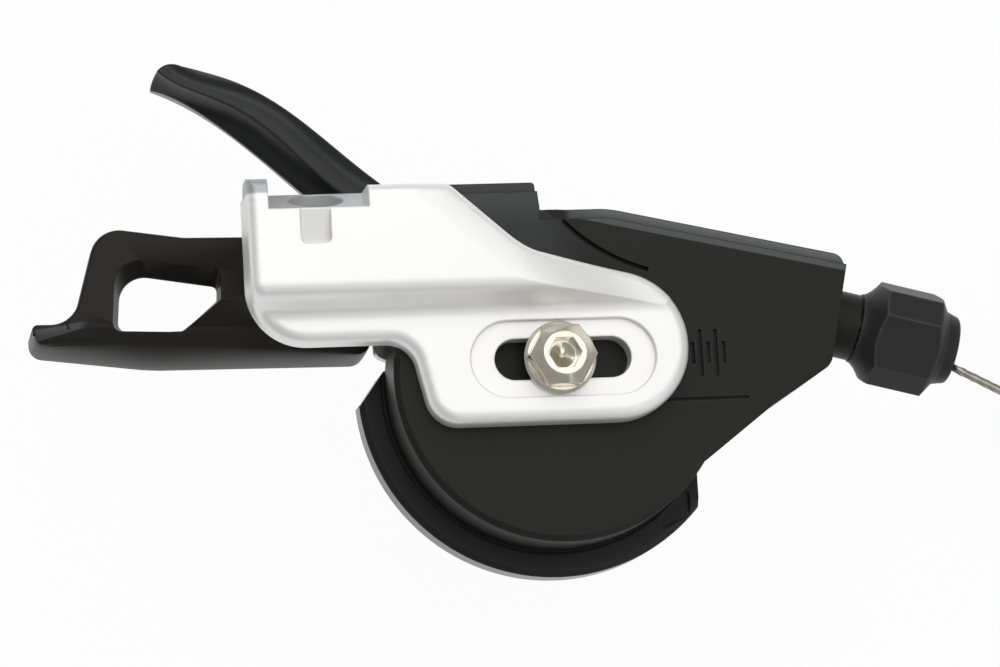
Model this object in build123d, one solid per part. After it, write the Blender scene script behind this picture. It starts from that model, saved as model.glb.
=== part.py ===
from build123d import *
import math
import os

# Left-hand trigger gear shifter with its brake-clamp bracket.
# The shifter is laid out about its main axle: X runs along the handlebar towards the stem, Y runs
# forward, Z runs up out of the cover, and height 0 is the cover's top face. At the end everything is
# moved so that the mouth of the bracket's clamp bore is the origin. All sizes are in millimetres.

# Running clearances
run_gap = 0.05          # radial clearance of a pin or axle in its hole
side_gap = 0.3          # room between pieces that pass each other
seat_gap = 0.05         # film between the bracket and the cover it slides on

# Cover and housing
cover_wall = 1.8
cover_top_wall = 2.0
cover_depth = 10.0      # height of the cover's wall over the round part
disc_r = 22.7           # round part of the cover
arm_depth = 14.6        # height of the cover's wall at the adjuster arm
edge_bevel = 0.8
north_bevel = 1.9
tab_bevel = 3.4
bevel_drop = 1.2
tab_edge_y = 26.5
north_edge_y = 22.6
arm_end_x = 40.6
rib_count = 5
rib_pitch = 1.07
rib_width = 0.5
rib_long = 6.4
rib_short = 3.0
rib_depth = 0.6
first_rib_x = 18.1
ribs_y = 2.15
slit_width = 0.65
slit_depth = 1.1
seam_depth = 0.5
seam_y = -4.1
seam_len = 12.3
seam_w = 0.4
release_door_y = 12.0   # near end of the release lever's door in the cover

# Lower cover
rim_r = 26.3
rim_wall = 2.0
rim_wall_h = 4.6        # straight outer wall of the rim
tub_depth = 21.0        # lowest point of the lower cover below the cover's top
tub_floor = 1.6
tub_foot_r = 21.5
rim_right_x = 19.7      # the rim is trimmed here, beside the adjuster arm
floor_t = 1.4           # plate that closes the adjuster arm from below
door_start = 104.0      # side opening for the levers, in degrees from +X
door_end = 173.0
door_floor_r = 20.5     # the tub's floor stays inside this radius at the door
rim_bevel = 0.8
ledge_t = 1.4           # shelf that the cover's wall stands on
ledge_gap = 0.1
groove_w = 0.45         # dark line round the foot of the cover's wall
groove_h = 0.5
clip_depth = 0.5
clip_corners = ((18.4, -14.6, 0.5), (18.4, -18.6, 0.5), (14.0, -20.5, 0.5), (14.6, -18.2, 0.5))

# Mechanism stack, heights below the cover's top
plate_top_z = -5.0
plate_t = 1.2
base_top_z = -11.8
base_t = 1.4
plate_r = 16.5
cable_z = -8.4
lever_plate_top_z = -13.6
lever_plate_t = 2.0
axle_r = 3.0
axle_foot_gap = 0.4     # room under the axle's end
axle_end_z = -tub_depth + tub_floor + axle_foot_gap
axle_seat = 1.0         # depth of the axle's end in the lower cover
axle_nut_flats = 7.4
axle_nut_t = 1.8
bush_wall = 1.0
post_r = 1.6
post_ring_r = 14.8
post_angles = (20.0, 140.0, 280.0)
boss_r = 2.2
screw_r = 1.1
screw_head_r = 1.7
screw_head_t = 1.2
screw_tip_z = -4.0
screw_ring_r = 19.2
screw_angles = (60.0, 195.0, 300.0)

# Cable drum
groove_r = 8.0          # centre line of the cable on the drum
cable_r = 0.6
cable_gap = 0.15
drum_flange_r = 9.6
drum_top_z = -6.5
ratchet_top_z = -9.6
ratchet_r = 13.0        # tip of the ratchet teeth
tooth_h = 1.6
tooth_step = 36.0       # angle from one tooth to the next
tooth_phase = 300.0     # angle of one tooth's steep face
spring_recess_r = 6.4
spring_recess_h = 2.2
head_r = 2.0
head_len = 4.0
head_angle = -112.0     # place of the cable's head on the drum

# Bracket
plate_h = 4.0           # thickness at the slot
block_h = 8.5           # top of the raised block
slot_len = 18.6
slot_w = 5.6
sink_len = 25.2
sink_w = 10.4
sink_depth = 0.8
bolt_x = -0.8
bolt_y = 1.5
slot_x = -0.3           # middle of the slot
bracket_left = -42.2
bracket_right = 17.0
bracket_top = 25.0
shelf_y = 4.5
block_y = 9.6
ogee_r = 2.4
clamp_tilt = 24.7       # clamp face leans back from upright
clamp_bore_r = 3.7
clamp_bore_len = 6.5
clamp_x = -32.75
notch_left = -39.4
notch_right = -26.0
pocket_w = 4.0
pocket_y = 17.1         # near end of the pocket, which runs out into the notch
pocket_slope = 0.33
pocket_round = 0.8
shoulder_run = 14.0     # length of the double curve that falls towards the forward right edge
shoulder_x = -22.5      # where that curve starts on the block's forward edge
shoulder_angle = -42.3
clamp_z = 4.8           # height of the clamp bore's mouth
clamp_top_y = 21.8      # forward edge of the block's top at the notch
clamp_y = clamp_top_y + (block_h - clamp_z) * math.tan(math.radians(clamp_tilt))
bracket_round = 1.6
keel_left_x = -39.8     # the bracket is deeper round the clamp bore
keel_right_x = -27.8
keel_near_y = 9.0
keel_drop = 3.0
nub_len = 3.0
nub_out = 1.1
nub_round = 1.5

# Bracket bolt and nut
bolt_r = 2.5
flange_r = 4.9
flange_t = 1.1
hex_flats = 8.0
hex_h = 3.6
socket_flats = 4.0
socket_depth = 2.2
drill_depth = 1.0       # cone at the socket's floor
nut_flats = 9.0
nut_t = 2.4
bolt_tip_z = -4.8

# Main lever
lever_top_z = -10.4
lever_round = 0.6
tip_slope = 0.45        # fall of the paddle's tip
tip_len = 5.0
paddle_slope = 0.3      # fall of the paddle's top towards its near edge
paddle_bottom_z = -21.0
lever_stroke = 35.0
rivet_r = 1.5
rivet_places = ((-30.0, 14.3), (-37.5, 15.6))
lever_hub_r = 7.0

# Release lever
release_x = -9.0
release_y = 19.0
release_pin_r = 1.5
release_hub_r = 4.0
release_ear_r = 3.2
release_top_z = -4.9
release_h = 5.2
horn_crown = 2.6        # drop of the horn's crowned top towards its far edge
horn_ridge = 0.38       # place of the horn's ridge, as a share of its width
horn_lip = 1.5          # height of the hollow near the horn's near edge
horn_over = 1.5         # reach of the horn's sections past its outline

# Pawls
pawl_t = 1.5
pawl_pin_r = 1.2
pawl_eye_r = 1.9
pawl_clear = 0.4        # room between a pawl's eye and the teeth
pawl_ring_r = ratchet_r + pawl_eye_r + pawl_clear
pawl_reach = 28.0       # angle from a pawl's nose to its pin
nose_gap = 0.8          # angle left between a nose and its tooth
hold_pin_angle = tooth_phase + pawl_reach
feed_pin_angle = hold_pin_angle - 2 * tooth_step
feed_pin_top_z = -8.9
feed_ear_r = 2.4

# Springs
spring_gap = 0.12       # space between neighbouring turns
drum_wire_r = 0.4
lever_wire_r = 0.45
lever_spring_r = 5.6
lever_spring_h = 3.0
pawl_wire_r = 0.25
release_wire_r = 0.3
adjuster_wire_r = 0.3
adjuster_spring_r = 3.4
spring_pocket = 3.0

# Barrel adjuster
adjust_angle = -15.0    # lean of the adjuster's axis in plan
adjust_x = 42.9         # where the knob's cone starts
adjust_y = 6.27
cone_len = 2.4
knob_len = 7.9
knob_flats = 14.2       # across the wide flats
knob_narrow = 14.9      # across the narrow flats
knob_swell = 1.12       # turned radius between the flats
knob_turn = 8.0         # turn of the flats about the axis
knob_bevel_len = 1.2
collar_r = 4.7
collar_len = 2.4
neck_r = 4.6
neck_len = 2.9
socket_r = 3.1          # socket for the cable's casing
socket_len = 9.5
stem_r = 2.6
stem_bore_r = 1.2
stem_start = -3.5
stem_reach = 3.8        # the stem ends this far inside the knob
bend_along = -6.0       # where the cable turns into the neck
guide_bend_r = 20.0
guide_len = 7.0
guide_h = 5.0

# Free cable and its coil
cable_dir = -27.5       # lean of the cable where it leaves the adjuster
free_start = 6.5        # straight start of the free cable
free_points = ((68.0, -5.8, -9.3), (73.3, -8.4, -12.9), (77.0, -10.3, -19.4), (78.5, -11.0, -27.4),
               (78.8, -11.2, -32.0))
coil_x = 79.5
coil_y = -0.4
coil_z = -37.0
coil_mid_r = 10.8
coil_side = 6.6
tie_t = 0.8
tie_turn = 20.0         # width of the tie's band round the coil, in degrees
bend_share = 0.45       # part of the shorter run that a bend may use


def outline(corners):
    """Closed face from (x, y, corner radius) triples."""
    points = [(x, y) for x, y, r in corners]
    radii = [r for x, y, r in corners]
    return make_face(FilletPolyline(*points, radius=radii, close=True))


def prism(face, low, high):
    """Upright solid over a flat face between two heights."""
    return extrude(Pos(0, 0, low) * face, high - low)


def rod(radius, low, high, x=0.0, y=0.0):
    """Upright round rod."""
    return Pos(x, y, (low + high) / 2) * Cylinder(radius, high - low)


def ring(outer, inner, low, high, x=0.0, y=0.0):
    """Upright ring."""
    return rod(outer, low, high, x, y) - rod(inner, low - 1, high + 1, x, y)


def polar(radius, angle):
    """Plan point at a radius and an angle in degrees."""
    return (radius * math.cos(math.radians(angle)), radius * math.sin(math.radians(angle)))


def sector(radius, start, end, low, high):
    """Upright wedge of a circle, under half a turn wide."""
    reach = radius / math.cos(math.radians((end - start) / 2))
    corners = [(0, 0), polar(radius, start), polar(reach, (start + end) / 2), polar(radius, end)]
    return prism(make_face(Polyline(*corners, close=True)), low, high)


def bracket_face():
    """Plan outline of the bracket."""
    return outline([
        (bracket_left, bracket_top, 1.0), (-15.0, bracket_top, 1.6), (-5.1, 16.0, 8.0),
        (bracket_right, 11.2, 10.0), (bracket_right, -7.0, 10.0), (-18.0, -7.0, 4.5), (-20.6, shelf_y, 4.0),
        (bracket_left, shelf_y, 8.0),
    ])


def ogee_section():
    """Cross-section of the bracket left of its end: low shelf, double curve and raised block."""
    start_y = block_y - ogee_r
    end_y = block_y + ogee_r
    far = 60.0
    curve = Spline((start_y, plate_h), (end_y, block_h), tangents=((1, 0), (1, 0)))
    low = Polyline((end_y + far, block_h), (end_y + far, -far), (start_y - far, -far), (start_y - far, plate_h))
    top = Line((end_y, block_h), (end_y + far, block_h))
    edges = [curve, top, low, Line((start_y - far, plate_h), (start_y, plate_h))]
    plane = Plane(origin=(bracket_left - 5, 0, 0), x_dir=(0, 1, 0), z_dir=(1, 0, 0))
    return plane * make_face(edges)


def clamp_plane():
    """Plane of the clamp face: its origin is the bore's mouth and its Z points out of the bore."""
    lean = math.radians(clamp_tilt)
    return Plane(origin=(clamp_x, clamp_y, clamp_z), x_dir=(1, 0, 0), z_dir=(0, math.cos(lean), math.sin(lean)))


def shoulder_tool():
    """What is cut away to let the block fall in a double curve, across the corner, to the slot plate."""
    along = Vector(*polar(1.0, shoulder_angle))
    across = polar(1.0, shoulder_angle + 90) + (0,)
    place = Plane(origin=Vector(shoulder_x, bracket_top) - along * 60, x_dir=across, z_dir=along)
    head = (0, block_h + 0.02)
    foot = (shoulder_run, plate_h)
    curve = Spline(head, foot, tangents=((1, 0), (1, 0)))
    rest = Polyline(foot, (60, plate_h), (60, 30), (0, 30), head)
    return extrude(place * make_face([curve, *rest.edges()]), 120)


def pocket_tool():
    """What is cut away for the pocket: a floor that falls away from the notch, with round near corners."""
    middle = clamp_x - 0.5
    side = pocket_w / 2
    far_y = clamp_top_y + 1
    plan = outline([(middle - side, far_y, 0), (middle + side, far_y, 0),
                    (middle + side, pocket_y, pocket_round), (middle - side, pocket_y, pocket_round)])
    floor = Plane(origin=(middle, clamp_top_y, block_h - 0.05), x_dir=(1, 0, 0), z_dir=(0, -pocket_slope, 1))
    above = floor.location * Box(20, 40, 10, align=(Align.CENTER, Align.CENTER, Align.MIN))
    return prism(plan, block_h - 4, block_h + 2) & above


def make_clamp_bracket():
    """Silver bracket: slotted plate, raised block, clamp notch with its bore, nub and pocket."""
    face = bracket_face()
    form = extrude(ogee_section(), bracket_right - bracket_left + 10) - shoulder_tool()
    body = prism(face, seat_gap, block_h + 1) & form
    edge_wire = face.face().outer_wire()
    rims = [e for e in body.edges() if e.center().Z > plate_h - 0.5
            and edge_wire.distance_to(Pos(0, 0, -e.center().Z) * Vertex(e.center())) < 0.02]
    body = fillet(rims, bracket_round)
    keel = Rectangle(keel_right_x - keel_left_x, 60, align=(Align.MIN, Align.MIN))
    keel = face & Pos(keel_left_x, keel_near_y) * keel
    body += prism(keel, -keel_drop, seat_gap + 0.5)
    nub_w = notch_left - bracket_left
    nub = Box(nub_w, nub_len, block_h - 3, align=(Align.MIN, Align.MAX, Align.MAX))
    ends = nub.edges().filter_by(Axis.X).group_by(Axis.Y)[-1]
    side = nub.edges().filter_by(Axis.Y).group_by(Axis.Z)[-1].sort_by(Axis.X)[:1]
    nub = fillet(ends + side, nub_round)
    body += Pos(bracket_left, bracket_top + nub_out, block_h) * nub
    notch = Box(notch_right - notch_left, 30, 40, align=(Align.MIN, Align.CENTER, Align.MIN))
    lean = clamp_plane()
    body -= lean.location * Pos(notch_left - clamp_x, 0, 0) * notch
    body -= lean.location * Pos(0, 0, -clamp_bore_len / 2) * Cylinder(clamp_bore_r, clamp_bore_len + 0.002)
    body -= pocket_tool()
    slot = Pos(slot_x, bolt_y) * SlotOverall(slot_len, slot_w)
    sink = Pos(slot_x, bolt_y) * SlotOverall(sink_len, sink_w)
    body -= prism(slot, -1, plate_h + 1)
    body -= prism(sink, plate_h - sink_depth, plate_h + 6)
    return body


def make_bracket_bolt():
    """Flanged hex bolt with a domed head and a hex socket."""
    seat = plate_h - sink_depth + seat_gap
    top = seat + flange_t + hex_h
    flange = rod(flange_r, seat, seat + flange_t)
    flange = chamfer(flange.edges().group_by(Axis.Z)[-1], flange_t * 0.4)
    head = prism(RegularPolygon(hex_flats / 2, 6, major_radius=False), seat, top)
    dome = Cone(hex_flats * 0.9, hex_flats * 0.36, hex_h, align=(Align.CENTER, Align.CENTER, Align.MAX))
    head &= Pos(0, 0, top) * dome + rod(hex_flats, seat - 1, top - hex_h)
    shank = rod(bolt_r, bolt_tip_z, seat)
    socket = prism(RegularPolygon(socket_flats / 2, 6, major_radius=False), top - socket_depth, top + 1)
    drill = Cone(0, socket_flats * 0.44, drill_depth, align=(Align.CENTER, Align.CENTER, Align.MAX))
    socket += Pos(0, 0, top - socket_depth) * drill
    return Pos(bolt_x, bolt_y) * (flange + head + shank - socket)


def make_mount_nut():
    """Captive square nut under the cover's top wall."""
    plate = prism(Rectangle(nut_flats, nut_flats), -cover_top_wall - nut_t, -cover_top_wall)
    return Pos(bolt_x, bolt_y) * (plate - rod(bolt_r + run_gap, -20, 20))


def cover_face():
    """Plan outline of the cover: round part, forward tab and adjuster arm."""
    arm = outline([
        (-14.2, tab_edge_y, 0.8), (-2.0, tab_edge_y, 0.5), (-1.7, north_edge_y, 0.8), (8.0, north_edge_y, 14.0),
        (arm_end_x, 15.2, 1.8), (37.2, 0.0, 2.5), (28.7, -5.3, 3.0), (19.0, -12.5, 0), (0, 0, 0),
        (-22.3, 3.0, 0),
    ])
    return arm + Circle(disc_r)


def arm_face():
    """Part of the cover's outline beside the rim, where the wall reaches lower."""
    right = Pos(rim_right_x, 0) * Rectangle(80, 120, align=(Align.MIN, Align.CENTER))
    return cover_face() & right


def adjuster_plane(along=0.0):
    """Plane across the adjuster's axis; its Z points out along the cable."""
    dx, dy = polar(1.0, adjust_angle)
    origin = (adjust_x + along * dx, adjust_y + along * dy, cable_z)
    return Plane(origin=origin, x_dir=(-dy, dx, 0), z_dir=(dx, dy, 0))


def along_adjuster(radius, start, end):
    """Round rod along the adjuster's axis between two distances from the knob's start."""
    return adjuster_plane((start + end) / 2).location * Cylinder(radius, end - start)


def edge_wedge(start, end, width):
    """Wedge that bevels the cover's top along one straight stretch of its forward edge."""
    reach = 1.5
    run = Vector(*end) - Vector(*start)
    plane = Plane(origin=start, x_dir=(run.Y, -run.X, 0), z_dir=(run.X, run.Y, 0))
    section = Polyline((-reach, reach), (width, reach), (width, 0), (0, -bevel_drop),
                       (-reach, -bevel_drop), close=True)
    return extrude(plane * make_face(section), run.length)


def round_edge_wedge():
    """Ring that bevels the cover's top edge where the outline is round."""
    section = Polyline((disc_r - edge_bevel, 0), (disc_r - edge_bevel, 1), (disc_r + 1, 1),
                       (disc_r + 1, -edge_bevel), (disc_r, -edge_bevel), close=True)
    whole = revolve(Plane.XZ * make_face(section), Axis.Z)
    open_side = make_face(Polyline((0, 0), (57, -37.5), (57, -60), (-67, -60), (-67, 9), close=True))
    return whole & prism(open_side, -5, 5)


def make_upper_cover():
    """Moulded cover: shell, screw bosses, neck of the adjuster, ribs, slit and seam."""
    face = cover_face()
    shell = prism(face, -cover_depth, 0)
    shell -= round_edge_wedge()
    bend = (8.0, north_edge_y)
    shell -= edge_wedge((arm_end_x, 15.2), bend, north_bevel)
    shell -= edge_wedge(bend, (-1.7, north_edge_y), north_bevel)
    shell -= edge_wedge((-1.7, tab_edge_y), (-14.6, tab_edge_y), tab_bevel)
    shell += prism(arm_face(), -arm_depth, -cover_depth)
    shell += along_adjuster(neck_r, -neck_len - 3, -side_gap)
    inner = prism(offset(face, -cover_wall), -cover_depth - 1, -cover_top_wall)
    inner += prism(offset(arm_face(), -cover_wall), -arm_depth - 1, -cover_depth + 1)
    shell -= inner
    for angle in screw_angles:
        x, y = polar(screw_ring_r, angle)
        shell += rod(boss_r, base_top_z, -cover_top_wall + 0.5, x, y)
        shell -= rod(screw_r + run_gap, base_top_z - 1, screw_tip_z, x, y)
    door = Box(20, tab_edge_y - cover_wall - release_door_y, arm_depth, align=(Align.MAX, Align.MIN, Align.MAX))
    shell -= Pos(-12.6, release_door_y, release_top_z + side_gap) * door
    shell -= rod(bolt_r + side_gap, -cover_top_wall - 1, 1, bolt_x, bolt_y)
    shell -= along_adjuster(stem_r + run_gap, -neck_len - 8, 1)
    for index in range(rib_count):
        length = rib_long if index % 2 else rib_short
        shell -= Pos(first_rib_x + index * rib_pitch, ribs_y, 0) * Box(rib_width, length, 2 * rib_depth)
    arc = ThreePointArc((1.1, 21.1), (6.6, 16.5), (12.7, 13.8))
    section = Plane(origin=arc @ 0, z_dir=arc % 0, x_dir=(0, 0, 1)) * Rectangle(2 * slit_depth, slit_width)
    shell -= sweep(section, path=arc)
    shell -= Pos(19.3, seam_y, 0) * Box(seam_len, seam_w, 2 * seam_depth)
    return shell


def tub_face():
    """Plan outline of the lower cover's tub."""
    south = Pos(0, 2.7) * Rectangle(120, 80, align=(Align.CENTER, Align.MAX))
    left = Pos(rim_right_x, 0) * Rectangle(120, 120, align=(Align.MAX, Align.CENTER))
    facet = make_face(Polyline((-22.7, 2.7), (-26.1, -1.9), (-40, -1.9), (-40, 2.7), close=True))
    return (Circle(rim_r) & left & (south + cover_face())) - facet


def tub_turned(inset, bottom):
    """Turned outer form of the tub: straight rim wall above a tapered foot."""
    bend = -cover_depth - rim_wall_h
    points = [(0, bottom), (tub_foot_r - inset, bottom), (rim_r - inset, bend), (rim_r - inset, 1), (0, 1)]
    return revolve(Plane.XZ * make_face(Polyline(*points, close=True)), Axis.Z)


def make_lower_cover():
    """Moulded tub and rim, with the lever door, screw pillars and the plate under the adjuster arm."""
    face = tub_face()
    body = prism(face, -tub_depth, -cover_depth) & tub_turned(0, -tub_depth)
    rims = body.edges().group_by(Axis.Z)[-1].filter_by(GeomType.CIRCLE)
    body = chamfer(rims.sort_by(Edge.length)[-1:], rim_bevel)
    hollow = prism(offset(face, -rim_wall), -tub_depth + tub_floor, 1) & tub_turned(rim_wall, -tub_depth)
    body -= hollow
    near = Pos(0, 2.7) * Rectangle(120, 80, align=(Align.CENTER, Align.MAX))
    body += prism(face & near, -cover_depth - ledge_t, -cover_depth) & tub_turned(rim_bevel, -tub_depth)
    body -= rod(screw_ring_r + boss_r + ledge_gap, -cover_depth - ledge_t, 0)
    body -= ring(disc_r + groove_w, disc_r, -cover_depth - groove_h, 0)
    body -= prism(outline(clip_corners), -cover_depth - clip_depth, 0)
    body += prism(arm_face(), -arm_depth - floor_t, -arm_depth)
    foot = Pos(rim_right_x - rim_wall, 0) * Rectangle(rim_wall + 1, 24, align=(Align.MIN, Align.CENTER))
    body += prism(foot & face, -arm_depth - floor_t, -arm_depth)
    for angle in screw_angles:
        x, y = polar(screw_ring_r, angle)
        body += rod(boss_r, -tub_depth + 0.5, base_top_z - base_t, x, y) & tub_turned(0, -tub_depth)
        body -= rod(screw_r + run_gap, -tub_depth - 1, 0, x, y)
        body -= rod(screw_head_r + side_gap, -tub_depth - 1, -tub_depth + screw_head_t, x, y)
    body += ring(axle_r + 1.6, axle_r + run_gap, -tub_depth + tub_floor - 0.2, axle_end_z + axle_seat, 0, 0)
    door = sector(60, door_start, door_end, -tub_depth - 1, 1) - rod(door_floor_r, -60, 60)
    return body - door


def plate_face(with_screws):
    """Plan outline of a mechanism plate: disc, ear of the release pivot and, below, the screw ears."""
    ear = Pos(release_x, release_y) * Circle(release_ear_r)
    link = Pos(release_x / 2, release_y / 2) * Rot(0, 0, math.degrees(math.atan2(release_y, release_x)))
    face = Circle(plate_r) + ear + link * Rectangle(math.hypot(release_x, release_y), 2 * release_ear_r)
    if with_screws:
        for angle in screw_angles:
            face += Pos(*polar(screw_ring_r, angle)) * Circle(boss_r)
            web = Rot(0, 0, angle) * Rectangle(screw_ring_r, 2 * boss_r)
            face += Pos(*polar(screw_ring_r / 2, angle)) * web
            face -= Pos(*polar(screw_ring_r, angle)) * Circle(screw_r + run_gap)
    face -= Circle(axle_r + run_gap)
    face -= Pos(release_x, release_y) * Circle(release_pin_r + run_gap)
    face -= Pos(*polar(pawl_ring_r, hold_pin_angle)) * Circle(pawl_pin_r + run_gap)
    return face


def make_top_plate():
    """Steel plate over the drum."""
    return prism(plate_face(False), plate_top_z - plate_t, plate_top_z)


def make_base_plate():
    """Steel plate under the drum, clamped between the covers, with the feed pawl's curved slot."""
    sweep_arc = CenterArc((0, 0), pawl_ring_r, feed_pin_angle - lever_stroke - 1.5, lever_stroke + 3)
    face = plate_face(True) - SlotArc(sweep_arc, 2 * (pawl_pin_r + side_gap))
    return prism(face, base_top_z - base_t, base_top_z)


def make_plate_posts():
    """Spacers that hold the two plates apart."""
    return [rod(post_r, base_top_z, plate_top_z - plate_t, *polar(post_ring_r, angle)) for angle in post_angles]


def make_main_axle():
    """Axle of the drum and the main lever, seated in the lower cover."""
    return rod(axle_r, axle_end_z, plate_top_z)


def make_axle_bush():
    """Bush that the lever plate turns on."""
    low = lever_plate_top_z - lever_plate_t - side_gap
    return ring(axle_r + run_gap + bush_wall, axle_r + run_gap, low, base_top_z - base_t)


def make_axle_nut():
    """Nut that holds the bush and the lever plate up."""
    high = lever_plate_top_z - lever_plate_t - side_gap
    nut = prism(RegularPolygon(axle_nut_flats / 2, 6, major_radius=False), high - axle_nut_t, high)
    return nut - rod(axle_r + run_gap, -60, 60)


def make_cover_screws():
    """Screws that hold the covers and the base plate together."""
    screws = []
    for angle in screw_angles:
        x, y = polar(screw_ring_r, angle)
        head = rod(screw_head_r, -tub_depth, -tub_depth + screw_head_t, x, y)
        slot = Pos(x, y, -tub_depth) * Box(2 * screw_head_r, 0.5, screw_head_t)
        screws.append(head + rod(screw_r, -tub_depth + 0.5, screw_tip_z - 0.3, x, y) - slot)
    return screws


def tooth_face():
    """Plan outline of the ratchet: saw teeth whose ramps rise against the winding turn."""
    corners = []
    for index in range(round(360 / tooth_step)):
        angle = tooth_phase + index * tooth_step
        corners.append(polar(ratchet_r - tooth_h, angle))
        corners.append(polar(ratchet_r - tooth_h / 2, angle + tooth_step / 2))
        corners.append(polar(ratchet_r, angle + tooth_step))
    return make_face(Polyline(*corners, close=True))


def make_cable_drum():
    """Spool: cable groove above, ratchet wheel below, spring recess and pocket for the cable's head."""
    groove_half = cable_r + cable_gap
    body = rod(drum_flange_r, ratchet_top_z, drum_top_z)
    body -= ring(drum_flange_r + 1, groove_r - groove_half, cable_z - groove_half, cable_z + groove_half)
    body += prism(tooth_face(), base_top_z + side_gap, ratchet_top_z)
    body -= ring(spring_recess_r, spring_recess_r - 2.4, drum_top_z - spring_recess_h, drum_top_z + 1)
    body -= rod(axle_r + run_gap, -60, 60)
    return body - head_rod(head_r + run_gap, head_len + 2 * run_gap)


def head_rod(radius, length):
    """Round rod along the cable at the place of its head on the drum."""
    x, y = polar(groove_r, head_angle)
    tangent = polar(1.0, head_angle + 90)
    plane = Plane(origin=(x, y, cable_z), z_dir=(tangent[0], tangent[1], 0))
    return plane.location * Cylinder(radius, length)


def make_cable_head():
    """Barrel-shaped head on the end of the cable."""
    return head_rod(head_r, head_len)


def on_axis(along, aside=0.0):
    """Point beside the adjuster's axis: distance along it, and distance to its right."""
    dx, dy = polar(1.0, adjust_angle)
    return (adjust_x + along * dx + aside * dy, adjust_y + along * dy - aside * dx, cable_z)


def knob_end():
    """Distance from the start of the cone to the end of the collar."""
    return cone_len + knob_len + knob_bevel_len + collar_len


def cable_exit():
    """Where the cable's centre line crosses the end of the adjuster."""
    return on_axis(knob_end(), socket_len * math.tan(math.radians(adjust_angle - cable_dir)))


def inner_path():
    """Cable's route from the drum, through the guide and the adjuster, to the open air."""
    bend = Vector(*on_axis(bend_along))
    reach = math.hypot(bend.X, bend.Y)
    leave = math.degrees(math.atan2(bend.Y, bend.X)) - math.degrees(math.acos(groove_r / reach))
    first = head_angle + math.degrees(head_len / 2 / groove_r) + 1.0
    wrap = Pos(0, 0, cable_z) * CenterArc((0, 0), groove_r, first, leave - first)
    tail = FilletPolyline((*polar(groove_r, leave), cable_z), bend,
                          on_axis(knob_end() - socket_len), cable_exit(),
                          radius=[guide_bend_r, guide_bend_r])
    return Wire([*wrap.edges(), *tail.edges()])


def make_inner_cable():
    """Steel cable inside the shifter."""
    path = inner_path()
    return sweep(Plane(origin=path @ 0, z_dir=path % 0) * Circle(cable_r), path=path)


def make_cable_guide():
    """Block that turns the cable into the neck."""
    room = offset(arm_face(), -cover_wall - run_gap)
    block = room & Pos(*on_axis(bend_along)[:2]) * Rectangle(guide_len, 60, align=(Align.CENTER, Align.CENTER))
    body = prism(block, cable_z - guide_h / 2, cable_z + guide_h / 2)
    path = inner_path()
    return body - sweep(Plane(origin=path @ 0, z_dir=path % 0) * Circle(cable_r + cable_gap), path=path)


def coil_spring(mean_r, wire_r, turns, low, x=0.0, y=0.0):
    """Close-wound coil spring standing on Z."""
    pitch = 2 * wire_r + spring_gap
    path = Helix(pitch, pitch * turns, mean_r)
    section = Plane(origin=path @ 0, z_dir=path % 0) * Circle(wire_r)
    return Pos(x, y, low + wire_r) * sweep(section, path=path)


def make_drum_spring():
    """Return spring in the drum's recess."""
    low = drum_top_z - spring_recess_h + side_gap / 2
    return coil_spring(spring_recess_r - 1.2, drum_wire_r, 1.5, low)


def make_lever_spring():
    """Return spring of the main lever, round the axle's nut."""
    return coil_spring(lever_spring_r, lever_wire_r, 2, lever_plate_top_z - lever_plate_t - lever_spring_h)


def pawl_face(face_angle):
    """Plan outline of a pawl whose nose stands against the tooth face at one angle."""
    root = ratchet_r - tooth_h
    body = make_face(Polyline(
        polar(root + side_gap, face_angle + nose_gap), polar(root + 3 * side_gap, face_angle + 9),
        polar(ratchet_r + side_gap, face_angle + 15), polar(pawl_ring_r - pawl_eye_r, face_angle + pawl_reach),
        polar(pawl_ring_r + pawl_eye_r, face_angle + pawl_reach),
        polar(ratchet_r + 4 * side_gap, face_angle + nose_gap),
        close=True))
    centre = Pos(*polar(pawl_ring_r, face_angle + pawl_reach))
    return body + centre * Circle(pawl_eye_r) - centre * Circle(pawl_pin_r + run_gap)


def make_pawl(face_angle):
    """Flat steel pawl at the height of the ratchet."""
    low = base_top_z + side_gap + 0.1
    return prism(pawl_face(face_angle), low, low + pawl_t)


def make_hold_pawl_pin():
    """Pin of the hold pawl, through both plates."""
    return rod(pawl_pin_r, base_top_z - base_t, plate_top_z, *polar(pawl_ring_r, hold_pin_angle))


def make_feed_pawl_pin():
    """Pin of the feed pawl, standing on the lever plate's ear."""
    low = lever_plate_top_z - lever_plate_t
    return rod(pawl_pin_r, low, feed_pin_top_z, *polar(pawl_ring_r, feed_pin_angle))


def make_pawl_spring(angle):
    """Small coil spring on a pawl's pin."""
    low = base_top_z + side_gap + 0.2 + pawl_t
    return coil_spring(pawl_pin_r + 0.6, pawl_wire_r, 2, low, *polar(pawl_ring_r, angle))


def make_lever_plate():
    """Steel arm of the main lever: hub, ear of the feed pawl and the tongue under the lever."""
    tongue = outline([(-2, 6.6, 0), (-22, 17.5, 3), (-40, 20.3, 2), (-41.5, 10.0, 2), (-23.4, 9.7, 1),
                      (-23.2, 5.4, 1.2), (-17, 2.6, 3), (-4, -5.6, 0)])
    face = Circle(lever_hub_r) + tongue + Pos(*polar(pawl_ring_r, feed_pin_angle)) * Circle(feed_ear_r)
    link = Pos(*polar(pawl_ring_r / 2, feed_pin_angle)) * Rot(0, 0, feed_pin_angle)
    face += link * Rectangle(pawl_ring_r, 2 * feed_ear_r)
    face -= Circle(axle_r + 2 * run_gap + bush_wall)
    face -= Pos(*polar(pawl_ring_r, feed_pin_angle)) * Circle(pawl_pin_r)
    for x, y in rivet_places:
        face -= Pos(x, y) * Circle(rivet_r)
    return prism(face, lever_plate_top_z - lever_plate_t, lever_plate_top_z)


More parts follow.
